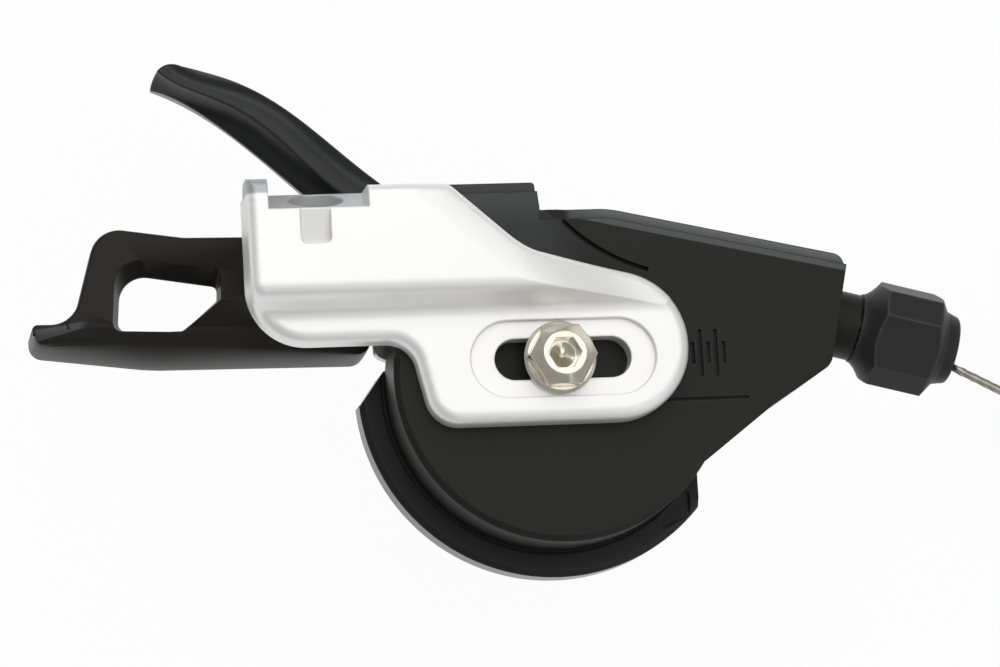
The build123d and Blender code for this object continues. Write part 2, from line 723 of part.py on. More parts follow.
def make_main_lever():
    """Thumb lever: web with its window, and the deep paddle along its near edge."""
    web = outline([(-23.8, 5.1, 2.3), (-53.5, 5.4, 40), (-69.9, 7.6, 1.9), (-69.9, 10.7, 0.8),
                   (-64.4, 10.5, 4.0),
                   (-60.6, 23.8, 4.0), (-49.0, 22.0, 15), (-36.0, 21.8, 6), (-24.0, 13.0, 3)])
    body = prism(web, lever_plate_top_z, lever_top_z)
    body = fillet(body.edges().group_by(Axis.Z)[-1], lever_round)
    high = outline([(-59.2, 9.4, 1.2), (-58.4, 19.4, 3.5), (-44.0, 17.7, 1.2), (-44.3, 13.2, 0.8),
                    (-49.8, 9.0, 1.5)])
    low = outline([(-58.2, 9.8, 1.2), (-57.5, 17.7, 3.5), (-44.5, 15.5, 0.8), (-44.6, 13.6, 0.5),
                   (-49.6, 9.3, 1.5)])
    body -= loft([Pos(0, 0, lever_plate_top_z - 0.001) * low, Pos(0, 0, lever_top_z + 0.001) * high])
    paddle = outline([(-23.8, 5.1, 2.2), (-53.5, 5.4, 40), (-69.9, 7.6, 1.9), (-69.9, 10.7, 0.8),
                      (-64.0, 10.5, 6),
                      (-58.5, 9.2, 10), (-23.8, 9.4, 2.0)])
    bar = prism(paddle, paddle_bottom_z, lever_top_z - lever_round - 0.4)
    body += fillet(bar.edges().group_by(Axis.Z)[0], lever_round)
    tip = Plane(origin=(-69.9, 8.7, lever_top_z), x_dir=(1, 0.13, 0), z_dir=(-0.13 * tip_slope, tip_slope, 1))
    body -= tip.location * Box(2 * tip_len, 20, 4, align=(Align.CENTER, Align.CENTER, Align.MIN))
    top = Plane(origin=(-45.0, 9.4, lever_top_z), x_dir=(1, -0.038, 0),
                z_dir=(-0.038 * paddle_slope, -paddle_slope, 1))
    body -= top.location * Box(60, 20, 4, align=(Align.CENTER, Align.MAX, Align.MIN))
    for x, y in rivet_places:
        body -= rod(rivet_r, -60, 60, x, y)
    return body


def make_lever_rivets():
    """Rivets that join the lever to its steel arm."""
    low = lever_plate_top_z - lever_plate_t
    rivet = rod(rivet_r, low, lever_top_z) + rod(rivet_r + 0.8, low - 0.5, low)
    return [Pos(x, y) * rivet for x, y in rivet_places]


def horn_section(near, far, shift):
    """Cross-section of the horn over one plan chord: crowned top, ridge and hollow near side."""
    low = release_top_z - release_h
    wide = (far - near).length
    along = (far - near) / wide
    turned = Vector(along.Y, -along.X, 0)
    place = Plane(origin=near + turned * shift, x_dir=along, z_dir=turned)
    ridge = (horn_ridge * wide, release_top_z)
    edge = (wide + horn_over, release_top_z - horn_crown)
    foot = (-horn_over, low - 0.3)
    crown = ThreePointArc(edge, (0.75 * wide, release_top_z - 0.35), ridge)
    hollow = ThreePointArc(ridge, (0.06 * wide, low + horn_lip), foot)
    rest = Polyline(foot, (-horn_over, low - horn_over), (wide + horn_over, low - horn_over), edge)
    return place * make_face([crown, hollow, *rest.edges()])


def make_release_lever():
    """Horn-shaped release lever with its hub between the plates."""
    upper = Spline((-16.0, 23.0), (-22.6, 28.0), (-36.4, 39.6), (-48.6, 44.7))
    tip = ThreePointArc((-48.6, 44.7), (-52.0, 43.9), (-52.7, 42.1))
    lower = Spline((-52.7, 42.1), (-44.0, 37.2), (-33.5, 28.0), (-20.0, 17.5))
    horn = make_face([upper, tip, lower, Line((-20.0, 17.5), (-16.0, 23.0))])
    root = outline([(-16.0, 23.0, 0), (-9.0, 22.9, 0), (-9.0, 15.1, 0), (-20.0, 17.5, 0)])
    low = release_top_z - release_h
    stations = [(0.0, 3.0), (0.25, 0.0), (0.5, 0.0), (0.75, 0.0), (1.0, 0.0), (1.0, -4.0)]
    form = loft([horn_section(lower @ (1 - share), upper @ share, shift) for share, shift in stations])
    body = prism(horn, low, release_top_z) & form
    hub = Pos(release_x, release_y) * Circle(release_hub_r)
    body += prism(root + hub, low, plate_top_z - plate_t - side_gap)
    return body - rod(release_pin_r + run_gap, -60, 60, release_x, release_y)


def make_release_pin():
    """Pivot pin of the release lever, through both plates."""
    return rod(release_pin_r, base_top_z - base_t, plate_top_z, release_x, release_y)


def make_release_spring():
    """Centring spring under the release lever's hub."""
    low = base_top_z + 0.05
    return coil_spring(release_pin_r + 0.8, release_wire_r, 1.3, low, release_x, release_y)


def make_adjuster_knob():
    """Barrel adjuster: cone, eight flats, end collar, cable socket and spring pocket."""
    far = knob_end()
    swell_r = knob_flats / 2 * knob_swell
    points = [(0, 0), (neck_r + side_gap, 0), (swell_r, cone_len), (swell_r, cone_len + knob_len),
              (collar_r, far - collar_len), (collar_r, far), (0, far)]
    turned = revolve(Plane.XZ * make_face(Polyline(*points, close=True)), Axis.Z)
    flats = Rectangle(knob_flats, knob_flats) & Rot(0, 0, 45) * Rectangle(knob_narrow, knob_narrow)
    body = turned & extrude(Rot(0, 0, knob_turn) * flats, far)
    body -= Pos(0, 0, far - socket_len / 2) * Cylinder(socket_r, socket_len + 0.002)
    body -= Cylinder(stem_r + run_gap, 2 * stem_reach)
    body -= Cylinder(adjuster_spring_r + 0.7, 2 * spring_pocket)
    body -= Cylinder(stem_bore_r, 2 * far)
    return adjuster_plane().location * body


def make_adjuster_stem():
    """Threaded tube, fixed in the cover's neck, that the knob turns on."""
    tube = along_adjuster(stem_r, stem_start, stem_reach - side_gap)
    return tube - along_adjuster(stem_bore_r, stem_start - 1, stem_reach + 1)


def make_adjuster_spring():
    """Spring between the neck and the knob."""
    pitch = (spring_pocket - 4 * adjuster_wire_r) / 2
    path = Helix(pitch, 2 * pitch, adjuster_spring_r)
    section = Plane(origin=path @ 0, z_dir=path % 0) * Circle(adjuster_wire_r)
    return adjuster_plane(adjuster_wire_r).location * sweep(section, path=path)


def free_route():
    """Corner points of the free cable, from the adjuster's end to the coil."""
    start = Vector(*cable_exit())
    dx, dy = polar(free_start, cable_dir)
    return [start, start + Vector(dx, dy, 0)] + [Vector(*point) for point in free_points]


def bend_radii(points):
    """Largest bend at each inner corner that stays within its two runs."""
    radii = []
    for before, corner, after in zip(points, points[1:], points[2:]):
        run_in = corner - before
        run_out = after - corner
        half = math.radians(run_in.get_angle(run_out) / 2)
        radii.append(bend_share * min(run_in.length, run_out.length) / math.tan(half))
    return radii


def make_shift_cable():
    """Free end of the cable: straight runs joined by round bends."""
    points = free_route()
    radii = bend_radii(points)
    path = FilletPolyline(*points, radius=radii)
    cable = sweep(Plane(origin=path @ 0, z_dir=path % 0) * Circle(cable_r), path=path)
    wanted = math.pi * cable_r ** 2 * path.length
    print("shift_cable bends", [round(radius, 1) for radius in radii], "length", round(path.length, 1))
    print("shift_cable volume", round(cable.volume, 2), "section times length", round(wanted, 2))
    return cable


def coil_section(side):
    """Square section through the coil, on the side away from the shifter's cover."""
    plane = Plane(origin=(coil_x, coil_y + coil_mid_r, coil_z), x_dir=(1, 0, 0), z_dir=(0, 0, 1))
    return plane * Rectangle(side, side)


def coil_axis():
    """Axis of the coil, along X."""
    return Axis((coil_x, coil_y, coil_z), (1, 0, 0))


def make_cable_coil():
    """Outer form of the rest of the cable, wound up."""
    return revolve(coil_section(coil_side), coil_axis())


def make_cable_tie():
    """Band that keeps the coil together."""
    inside = coil_side + 2 * run_gap
    band = coil_section(inside + 2 * tie_t) - coil_section(inside)
    return revolve(band, coil_axis(), revolution_arc=tie_turn)


pieces = {
    "clamp_bracket": make_clamp_bracket(),
    "bracket_bolt": make_bracket_bolt(),
    "mount_nut": make_mount_nut(),
    "upper_cover": make_upper_cover(),
    "lower_cover": make_lower_cover(),
    "cover_screws": make_cover_screws(),
    "top_plate": make_top_plate(),
    "base_plate": make_base_plate(),
    "plate_posts": make_plate_posts(),
    "main_axle": make_main_axle(),
    "axle_bush": make_axle_bush(),
    "axle_nut": make_axle_nut(),
    "cable_drum": make_cable_drum(),
    "drum_spring": make_drum_spring(),
    "cable_head": make_cable_head(),
    "inner_cable": make_inner_cable(),
    "cable_guide": make_cable_guide(),
    "hold_pawl": make_pawl(tooth_phase),
    "hold_pawl_pin": make_hold_pawl_pin(),
    "hold_pawl_spring": make_pawl_spring(hold_pin_angle),
    "feed_pawl": make_pawl(tooth_phase - 2 * tooth_step),
    "feed_pawl_pin": make_feed_pawl_pin(),
    "lever_plate": make_lever_plate(),
    "main_lever": make_main_lever(),
    "lever_rivets": make_lever_rivets(),
    "lever_spring": make_lever_spring(),
    "release_lever": make_release_lever(),
    "release_pin": make_release_pin(),
    "release_spring": make_release_spring(),
    "adjuster_stem": make_adjuster_stem(),
    "adjuster_spring": make_adjuster_spring(),
    "adjuster_knob": make_adjuster_knob(),
    "shift_cable": make_shift_cable(),
    "cable_coil": make_cable_coil(),
    "cable_tie": make_cable_tie(),
}

os.makedirs("parts", exist_ok=True)
to_mount = Pos(-clamp_x, -clamp_y, -clamp_z)
for node, shape in pieces.items():
    solids = shape if isinstance(shape, list) else [shape]
    moved = [to_mount * solid for solid in solids]
    export_step(moved[0] if len(moved) == 1 else Compound(children=moved), f"parts/{node}.step")
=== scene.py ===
import logging
import math
from dataclasses import dataclass, field
from enum import Enum

import bmesh
import bpy
from mathutils import Matrix, Vector


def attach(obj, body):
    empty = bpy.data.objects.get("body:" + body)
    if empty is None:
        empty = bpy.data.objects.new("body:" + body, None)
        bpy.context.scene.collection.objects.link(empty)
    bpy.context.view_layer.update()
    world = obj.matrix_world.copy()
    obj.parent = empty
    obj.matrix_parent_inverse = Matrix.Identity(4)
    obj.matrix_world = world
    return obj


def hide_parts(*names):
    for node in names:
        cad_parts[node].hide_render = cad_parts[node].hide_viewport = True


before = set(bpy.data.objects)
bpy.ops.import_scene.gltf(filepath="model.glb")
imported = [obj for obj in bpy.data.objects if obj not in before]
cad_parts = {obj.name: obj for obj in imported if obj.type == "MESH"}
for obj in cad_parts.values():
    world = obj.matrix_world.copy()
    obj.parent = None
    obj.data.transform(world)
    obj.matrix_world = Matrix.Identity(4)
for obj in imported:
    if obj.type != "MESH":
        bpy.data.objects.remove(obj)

log = logging.getLogger("shifter")

Colour = tuple[float, float, float]
Point = tuple[float, float, float]

MM = 0.001
AXLE_AT = Vector((32.75, -23.5018, -4.8))   # main axle at the cover's top, seen from the clamp bore


def at(x: float, y: float, z: float) -> Vector:
    """Turn a place in millimetres about the main axle into the row frame.

    Args:
        x: Distance towards the stem.
        y: Distance forward.
        z: Height above the cover's top.

    Returns:
        The point in metres from the clamp bore's mouth.
    """
    return (AXLE_AT + Vector((x, y, z))) * MM


class Body(Enum):
    """Moving bodies that a piece can ride on."""

    HOUSING = "housing"
    MAIN_LEVER = "main_lever"
    ADJUSTER = "adjuster"


class Kind(Enum):
    """Socket types of a shader node group."""

    VALUE = "NodeSocketFloat"
    VECTOR = "NodeSocketVector"


class GroupBuilder:
    """Builds one shader node group with named inputs and outputs."""

    def __init__(self, name: str) -> None:
        """Start an empty group.

        Args:
            name: Name of the group.
        """
        self.tree = bpy.data.node_groups.new(name, "ShaderNodeTree")
        self.start = self.tree.nodes.new("NodeGroupInput")
        self.end = self.tree.nodes.new("NodeGroupOutput")

    def input(self, name: str, kind: Kind, default: float | None = None) -> bpy.types.NodeSocket:
        """Add a named input.

        Args:
            name: Name of the socket.
            kind: Type of the socket.
            default: Value where nothing is linked.

        Returns:
            The socket inside the group.
        """
        made = self.tree.interface.new_socket(name, in_out="INPUT", socket_type=kind.value)
        if default is not None:
            made.default_value = default
        return self.start.outputs[name]

    def output(self, name: str, kind: Kind, source: bpy.types.NodeSocket) -> None:
        """Add a named output and feed it.

        Args:
            name: Name of the socket.
            kind: Type of the socket.
            source: Socket that feeds it.
        """
        self.tree.interface.new_socket(name, in_out="OUTPUT", socket_type=kind.value)
        self.tree.links.new(source, self.end.inputs[name])

    def node(self, kind: str, **values: object) -> bpy.types.Node:
        """Add a node with its attributes set."""
        return add_node(self.tree, kind, **values)

    def link(self, source: bpy.types.NodeSocket, target: bpy.types.NodeSocket) -> None:
        """Join two sockets."""
        self.tree.links.new(source, target)


def add_node(tree: bpy.types.NodeTree, kind: str, **values: object) -> bpy.types.Node:
    """Add one node to a tree.

    Args:
        tree: Node tree of a material, world or group.
        kind: Blender's name of the node type.
        values: Attributes of the node.

    Returns:
        The new node.
    """
    node = tree.nodes.new(kind)
    for name, value in values.items():
        setattr(node, name, value)
    return node


def math_node(tree: bpy.types.NodeTree, operation: str, first: object, second: object) -> bpy.types.NodeSocket:
    """Add a math node fed by sockets or numbers.

    Args:
        tree: Node tree that gets the node.
        operation: Blender's name of the operation.
        first: Socket or number.
        second: Socket or number.

    Returns:
        The result's socket.
    """
    node = add_node(tree, "ShaderNodeMath", operation=operation)
    for slot, value in enumerate((first, second)):
        if isinstance(value, bpy.types.NodeSocket):
            tree.links.new(value, node.inputs[slot])
        else:
            node.inputs[slot].default_value = value
    return node.outputs[0]


class Effects:
    """Shared surface effects, each a node group that is built once."""

    def __init__(self) -> None:
        """Build every group."""
        self.soft_edge = self._soft_edge()
        self.grain = self._grain()
        self.streaks = self._streaks()
        self.side = self._side()

    def _soft_edge(self) -> bpy.types.NodeTree:
        """Group that rounds sharp edges in the shading and masks where they are."""
        group = GroupBuilder("soft_edge")
        radius = group.input("Radius", Kind.VALUE, 0.0003)
        gain = group.input("Gain", Kind.VALUE, 4.0)
        bevel = group.node("ShaderNodeBevel", samples=6)
        group.link(radius, bevel.inputs["Radius"])
        facing = group.node("ShaderNodeNewGeometry")
        dot = group.node("ShaderNodeVectorMath", operation="DOT_PRODUCT")
        group.link(bevel.outputs["Normal"], dot.inputs[0])
        group.link(facing.outputs["Normal"], dot.inputs[1])
        turned = math_node(group.tree, "SUBTRACT", 1.0, dot.outputs["Value"])
        mask = math_node(group.tree, "MULTIPLY", turned, gain)
        clamp = group.node("ShaderNodeClamp")
        group.link(mask, clamp.inputs["Value"])
        group.output("Normal", Kind.VECTOR, bevel.outputs["Normal"])
        group.output("Edge", Kind.VALUE, clamp.outputs["Result"])
        return group.tree

    def _grain(self) -> bpy.types.NodeTree:
        """Group of fine moulded grain with slow variation of tone."""
        group = GroupBuilder("grain")
        scale = group.input("Scale", Kind.VALUE, 6000.0)
        place = group.node("ShaderNodeTexCoord")
        fine = group.node("ShaderNodeTexNoise")
        fine.inputs["Detail"].default_value = 3.0
        group.link(place.outputs["Object"], fine.inputs["Vector"])
        group.link(scale, fine.inputs["Scale"])
        pits = group.node("ShaderNodeTexVoronoi")
        group.link(place.outputs["Object"], pits.inputs["Vector"])
        group.link(scale, pits.inputs["Scale"])
        broad = group.node("ShaderNodeTexNoise")
        broad.inputs["Scale"].default_value = 60.0
        broad.inputs["Detail"].default_value = 2.0
        group.link(place.outputs["Object"], broad.inputs["Vector"])
        height = math_node(group.tree, "ADD", fine.outputs["Fac"], pits.outputs["Distance"])
        group.output("Height", Kind.VALUE, height)
        group.output("Tone", Kind.VALUE, broad.outputs["Fac"])
        group.output("Speck", Kind.VALUE, fine.outputs["Fac"])
        return group.tree

    def _side(self) -> bpy.types.NodeTree:
        """Group that masks one side of a straight line in plan, with a soft border."""
        group = GroupBuilder("side")
        toward = group.input("Toward", Kind.VECTOR)
        start = group.input("Start", Kind.VALUE, 0.0)
        end = group.input("End", Kind.VALUE, 1.0)
        place = group.node("ShaderNodeTexCoord")
        reach = group.node("ShaderNodeVectorMath", operation="DOT_PRODUCT")
        group.link(place.outputs["Object"], reach.inputs[0])
        group.link(toward, reach.inputs[1])
        ramp = group.node("ShaderNodeMapRange", interpolation_type="SMOOTHSTEP")
        group.link(reach.outputs["Value"], ramp.inputs["Value"])
        group.link(start, ramp.inputs["From Min"])
        group.link(end, ramp.inputs["From Max"])
        group.output("Mask", Kind.VALUE, ramp.outputs["Result"])
        return group.tree

    def _streaks(self) -> bpy.types.NodeTree:
        """Group of fine drawn or brushed lines along one direction."""
        group = GroupBuilder("streaks")
        scale = group.input("Scale", Kind.VALUE, 900.0)
        stretch = group.input("Stretch", Kind.VECTOR)
        place = group.node("ShaderNodeTexCoord")
        squeeze = group.node("ShaderNodeVectorMath", operation="MULTIPLY")
        group.link(place.outputs["Object"], squeeze.inputs[0])
        group.link(stretch, squeeze.inputs[1])
        lines = group.node("ShaderNodeTexNoise")
        lines.inputs["Detail"].default_value = 4.0
        group.link(squeeze.outputs["Vector"], lines.inputs["Vector"])
        group.link(scale, lines.inputs["Scale"])
        group.output("Lines", Kind.VALUE, lines.outputs["Fac"])
        return group.tree


class Shading:
    """Helper that lays out one material round a Principled shader."""

    GLAZE_BLEND = 0.5
    GLAZE_START = 0.55
    GLAZE_END = 0.85

    def __init__(self, name: str) -> None:
        """Make an empty material.

        Args:
            name: Name of the material.
        """
        self.material = bpy.data.materials.new(name)
        self.material.use_nodes = True
        self.tree = self.material.node_tree
        self.tree.nodes.clear()
        self.shader = add_node(self.tree, "ShaderNodeBsdfPrincipled")
        end = add_node(self.tree, "ShaderNodeOutputMaterial")
        self.tree.links.new(self.shader.outputs["BSDF"], end.inputs["Surface"])

    def group(self, tree: bpy.types.NodeTree, **values: object) -> bpy.types.Node:
        """Place a shared effect with its own values.

        Args:
            tree: Node group of the effect.
            values: Values of its inputs, by name.

        Returns:
            The group's node.
        """
        node = add_node(self.tree, "ShaderNodeGroup", node_tree=tree)
        for name, value in values.items():
            node.inputs[name].default_value = value
        return node

    def ramp(self, value: bpy.types.NodeSocket, low: float, high: float, target: str, start: float = 0.0,
             end: float = 1.0) -> None:
        """Feed a shader value that runs between two numbers.

        Args:
            value: Socket that steers it.
            low: Result at the start.
            high: Result at the end.
            target: Name of the shader's socket.
            start: Value of the socket at the start.
            end: Value of the socket at the end.
        """
        node = add_node(self.tree, "ShaderNodeMapRange")
        node.inputs["From Min"].default_value = start
        node.inputs["From Max"].default_value = end
        node.inputs["To Min"].default_value = low
        node.inputs["To Max"].default_value = high
        self.tree.links.new(value, node.inputs["Value"])
        self.tree.links.new(node.outputs["Result"], self.shader.inputs[target])

    def mix(self, factor: bpy.types.NodeSocket, first: object, second: Colour) -> bpy.types.NodeSocket:
        """Mix two colours by a mask.

        Args:
            factor: Mask from 0 to 1.
            first: Colour or colour socket where the mask is 0.
            second: Colour where the mask is 1.

        Returns:
            The mixed colour's socket.
        """
        node = add_node(self.tree, "ShaderNodeMix", data_type="RGBA")
        self.tree.links.new(factor, node.inputs["Factor"])
        if isinstance(first, bpy.types.NodeSocket):
            self.tree.links.new(first, node.inputs["A"])
        else:
            node.inputs["A"].default_value = (*first, 1.0)
        node.inputs["B"].default_value = (*second, 1.0)
        return node.outputs["Result"]

    def bump(self, height: bpy.types.NodeSocket, strength: float, distance: float,
             normal: bpy.types.NodeSocket | None = None) -> None:
        """Feed the shader's normal from a height.

        Args:
            height: Height socket.
            strength: Share of the bump that shows.
            distance: Height of the bump in metres.
            normal: Normal that the bump is laid over.
        """
        node = add_node(self.tree, "ShaderNodeBump")
        node.inputs["Strength"].default_value = strength
        node.inputs["Distance"].default_value = distance
        self.tree.links.new(height, node.inputs["Height"])
        if normal is not None:
            self.tree.links.new(normal, node.inputs["Normal"])
        self.tree.links.new(node.outputs["Normal"], self.shader.inputs["Normal"])

    def glaze(self, weight: float, rough: float) -> None:
        """Lay a gloss over the surface that grows where it is seen at a low angle.

        Args:
            weight: Gloss at the lowest angle.
            rough: Roughness of the gloss.
        """
        facing = add_node(self.tree, "ShaderNodeLayerWeight")
        facing.inputs["Blend"].default_value = self.GLAZE_BLEND
        self.ramp(facing.outputs["Facing"], 0.0, weight, "Coat Weight", self.GLAZE_START, self.GLAZE_END)
        self.shader.inputs["Coat Roughness"].default_value = rough

    def colour(self, source: bpy.types.NodeSocket) -> None:
        """Feed the shader's base colour."""
        self.tree.links.new(source, self.shader.inputs["Base Color"])


@dataclass(frozen=True)
class Bound:
    """Straight line in plan: a point on it, the way to the masked side in degrees, and the border's width.

    Lengths are in millimetres about the main axle.
    """

    x: float
    y: float
    way: float
    fade: float


@dataclass(frozen=True)
class Zone:
    """Part of a surface painted in another tone, inside all of its bounds; the cover's and the lever tip's zones are
    painted highlights.
    """

    tone: Colour
    bounds: tuple[Bound, ...]

    def mask(self, made: Shading, effects: Effects) -> bpy.types.NodeSocket:
        """Build the zone's mask.

        Args:
            made: Material that gets the nodes.
            effects: Shared node groups.

        Returns:
            The mask's socket.
        """
        whole = None
        for bound in self.bounds:
            angle = math.radians(bound.way)
            toward = Vector((math.cos(angle), math.sin(angle), 0.0))
            start = at(bound.x, bound.y, 0.0).dot(toward)
            side = made.group(effects.side, Toward=toward, Start=start, End=start + bound.fade * MM).outputs["Mask"]
            whole = side if whole is None else math_node(made.tree, "MULTIPLY", whole, side)
        return whole


def tone_zones(made: Shading, effects: Effects, colour: bpy.types.NodeSocket,
               zones: tuple[Zone, ...]) -> bpy.types.NodeSocket:
    """Lay the tones of zones over a colour.

    Args:
        made: Material that gets the nodes.
        effects: Shared node groups.
        colour: Colour outside all zones.
        zones: Zones, the last one on top.

    Returns:
        The toned colour's socket.
    """
    for zone in zones:
        colour = made.mix(zone.mask(made, effects), colour, zone.tone)
    return colour


@dataclass(frozen=True)
class MouldedPlastic:
    """Black moulded plastic with fine grain, and slightly paler edges that are partly wear and partly painted
    highlight.

    The edge's radius and the grain's depth are in metres.
    """

    name: str
    base: Colour
    edge_wear_and_highlight: Colour
    rough_low: float
    rough_high: float
    gloss: float
    grain: float
    glaze: float
    glaze_rough: float
    edge: float = 0.00035
    grain_scale: float = 5000.0
    edge_gain: float = 10.0
    tone_gain: float = 1.35
    grain_depth: float = 0.00002
    zones: tuple[Zone, ...] = ()

    def build(self, effects: Effects) -> bpy.types.Material:
        """Make the material.

        Args:
            effects: Shared node groups.

        Returns:
            The finished material.
        """
        made = Shading(self.name)
        edges = made.group(effects.soft_edge, Radius=self.edge, Gain=self.edge_gain)
        grain = made.group(effects.grain, Scale=self.grain_scale)
        toned = made.mix(grain.outputs["Tone"], self.base, tuple(self.tone_gain * part for part in self.base))
        toned = tone_zones(made, effects, toned, self.zones)
        # paler edge colour: partly wear, partly painted highlight along the edges
        made.colour(made.mix(edges.outputs["Edge"], toned, self.edge_wear_and_highlight))
        made.ramp(grain.outputs["Tone"], self.rough_low, self.rough_high, "Roughness")
        made.shader.inputs["Specular IOR Level"].default_value = self.gloss
        made.glaze(self.glaze, self.glaze_rough)
        made.bump(grain.outputs["Height"], self.grain, self.grain_depth, edges.outputs["Normal"])
        return made.material


@dataclass(frozen=True)
class SatinAlloy:
    """Silver alloy with a fine blasted surface.

    The edge's radius and the grain's depth are in metres.
    """

    name: str
    base: Colour
    shade: Colour
    rough_low: float
    rough_high: float
    metallic: float
    edge: float = 0.0004
    grain: float = 0.12
    grain_scale: float = 9000.0
    grain_depth: float = 0.00001
    zones: tuple[Zone, ...] = ()

    def build(self, effects: Effects) -> bpy.types.Material:
        """Make the material.

        Args:
            effects: Shared node groups.

        Returns:
            The finished material.
        """
        made = Shading(self.name)
        edges = made.group(effects.soft_edge, Radius=self.edge)
        grain = made.group(effects.grain, Scale=self.grain_scale)
        toned = made.mix(grain.outputs["Speck"], self.shade, self.base)
        made.colour(tone_zones(made, effects, toned, self.zones))
        made.ramp(grain.outputs["Tone"], self.rough_low, self.rough_high, "Roughness")
        made.shader.inputs["Metallic"].default_value = self.metallic
        made.bump(grain.outputs["Height"], self.grain, self.grain_depth, edges.outputs["Normal"])
        return made.material


@dataclass(frozen=True)
class Metal:
    """Bare or plated metal with fine lines and paler edges.

    The edge's radius and the lines' depth are in metres. A low number in lines draws them out along that axis.
    """

    name: str
    base: Colour
    bright: Colour
    rough_low: float
    rough_high: float
    lines: Point = (1.0, 1.0, 1.0)
    line_scale: float = 900.0
    line_share: float = 0.1
    line_depth: float = 0.00001
    edge: float = 0.0002

    def build(self, effects: Effects) -> bpy.types.Material:
        """Make the material.

        Args:
            effects: Shared node groups.

        Returns:
            The finished material.
        """
        made = Shading(self.name)
        edges = made.group(effects.soft_edge, Radius=self.edge)
        streaks = made.group(effects.streaks, Scale=self.line_scale, Stretch=self.lines)
        toned = made.mix(streaks.outputs["Lines"], self.base, self.bright)
        made.colour(made.mix(edges.outputs["Edge"], toned, self.bright))
        made.ramp(streaks.outputs["Lines"], self.rough_low, self.rough_high, "Roughness")
        made.shader.inputs["Metallic"].default_value = 1.0
        made.bump(streaks.outputs["Lines"], self.line_share, self.line_depth, edges.outputs["Normal"])
        return made.material


Finish = MouldedPlastic | SatinAlloy | Metal

# Paler tones painted on the cover where light falls on its bevels and tilted faces: painted highlights
COVER_PAINTED_HIGHLIGHTS = (
    # Painted light beside the slit, fading to the right and to the rear
    Zone((0.03, 0.031, 0.031), (Bound(5.1, 18.1, 231.3, 0.2), Bound(5.5, 0, 180, 8), Bound(0, 8, 90, 6))),
    # Painted highlight on the forward tab, fading to the rear
    Zone((0.055, 0.057, 0.057), (Bound(-1.0, 0, 180, 0.5), Bound(0, 19.5, 90, 5.0))),
    # Painted highlight in a band along the forward edge, and its paler outer part
    Zone((0.085, 0.087, 0.087), (Bound(8.8, 19.8, 77.3, 0.2), Bound(1.8, 0, 0, 1.2))),
    Zone((0.15, 0.153, 0.153), (Bound(8.8, 20.5, 77.3, 2.0), Bound(1.0, 0, 0, 4.0))))
TIP_PAINTED_HIGHLIGHT = (
    # Painted highlight on the facet at the thumb lever's tip
    Zone((0.07, 0.073, 0.078), (Bound(-66, 9.1, 104, 0.2), Bound(-62.3, 0, 180, 1.5), Bound(-65.4, 10.6, 277, 0.2))),)
NOTCH_GREY_ZONES = (
    # Greyer tone on the clamp notch with its bore, and on the nub's end
    Zone((0.56, 0.575, 0.58), (Bound(0, 21.78, 90, 0.08), Bound(-39.35, 0, 0, 0.05), Bound(-26.05, 0, 180, 0.05))),
    Zone((0.45, 0.46, 0.47), (Bound(0, 23.8, 90, 0.4), Bound(-39.4, 0, 180, 0.1))))

COVER_PLASTIC = MouldedPlastic("cover_plastic", (0.008, 0.008, 0.0072), (0.03, 0.03, 0.03), 0.42, 0.52, 0.22, 0.25,
                               0.2, 0.3, zones=COVER_PAINTED_HIGHLIGHTS)
TUB_PLASTIC = MouldedPlastic("tub_plastic", (0.007, 0.007, 0.007), (0.03, 0.03, 0.03), 0.4, 0.5, 0.25, 0.2, 0.6, 0.2)
LEVER_PLASTIC = MouldedPlastic("lever_plastic", (0.017, 0.016, 0.0148), (0.026, 0.026, 0.026), 0.32, 0.42, 0.12, 0.15,
                               0.0, 0.2, 0.0004, zones=TIP_PAINTED_HIGHLIGHT)
HORN_PLASTIC = MouldedPlastic("horn_plastic", (0.006, 0.0065, 0.0065), (0.015, 0.015, 0.015), 0.22, 0.3, 0.35, 0.08,
                              0.5, 0.12, 0.0006)
# Knob: its pale edge colour at a high edge gain paints highlights along the flats' edges, partly wear
KNOB_PLASTIC = MouldedPlastic("knob_plastic", (0.022, 0.0222, 0.0218), (0.07, 0.071, 0.07), 0.35, 0.45, 0.14, 0.2,
                              0.0, 0.25, 0.0005, edge_gain=16.0)
GUIDE_PLASTIC = MouldedPlastic("guide_plastic", (0.08, 0.08, 0.08), (0.12, 0.12, 0.12), 0.45, 0.55, 0.4, 0.2, 0.3, 0.3)
TIE_PLASTIC = MouldedPlastic("tie_plastic", (0.015, 0.015, 0.015), (0.03, 0.03, 0.03), 0.4, 0.5, 0.4, 0.1, 0.3, 0.3)
BRACKET_ALLOY = SatinAlloy("bracket_alloy", (0.94, 0.935, 0.93), (0.9, 0.895, 0.89), 0.4, 0.46, 0.5,
                           zones=NOTCH_GREY_ZONES)
# Bolt: coarse streaks mixed into its colour are partly drawn lines, partly painted dark and bright reflection patches
BOLT_PLATED = Metal("bolt_plated", (0.62, 0.57, 0.46), (0.92, 0.88, 0.78), 0.1, 0.2, (1.0, 1.0, 0.3), 500.0, 0.15)
PLATE_STEEL = Metal("plate_steel", (0.42, 0.44, 0.38), (0.62, 0.63, 0.58), 0.25, 0.4, (0.08, 1.0, 1.0))
PIN_STEEL = Metal("pin_steel", (0.5, 0.5, 0.5), (0.7, 0.7, 0.7), 0.2, 0.35, (1.0, 1.0, 0.2))
PAWL_STEEL = Metal("pawl_steel", (0.3, 0.3, 0.3), (0.5, 0.5, 0.5), 0.3, 0.45, (1.0, 0.1, 1.0))
BUSH_BRASS = Metal("bush_brass", (0.6, 0.45, 0.2), (0.8, 0.62, 0.32), 0.25, 0.4, (1.0, 1.0, 0.1))
DARK_SPRING = Metal("dark_spring", (0.02, 0.02, 0.02), (0.05, 0.05, 0.05), 0.45, 0.6)
SPRING_STEEL = Metal("spring_steel", (0.4, 0.4, 0.4), (0.65, 0.65, 0.65), 0.2, 0.35)
CABLE_STEEL = Metal("cable_steel", (0.3, 0.28, 0.24), (0.55, 0.53, 0.48), 0.25, 0.4)


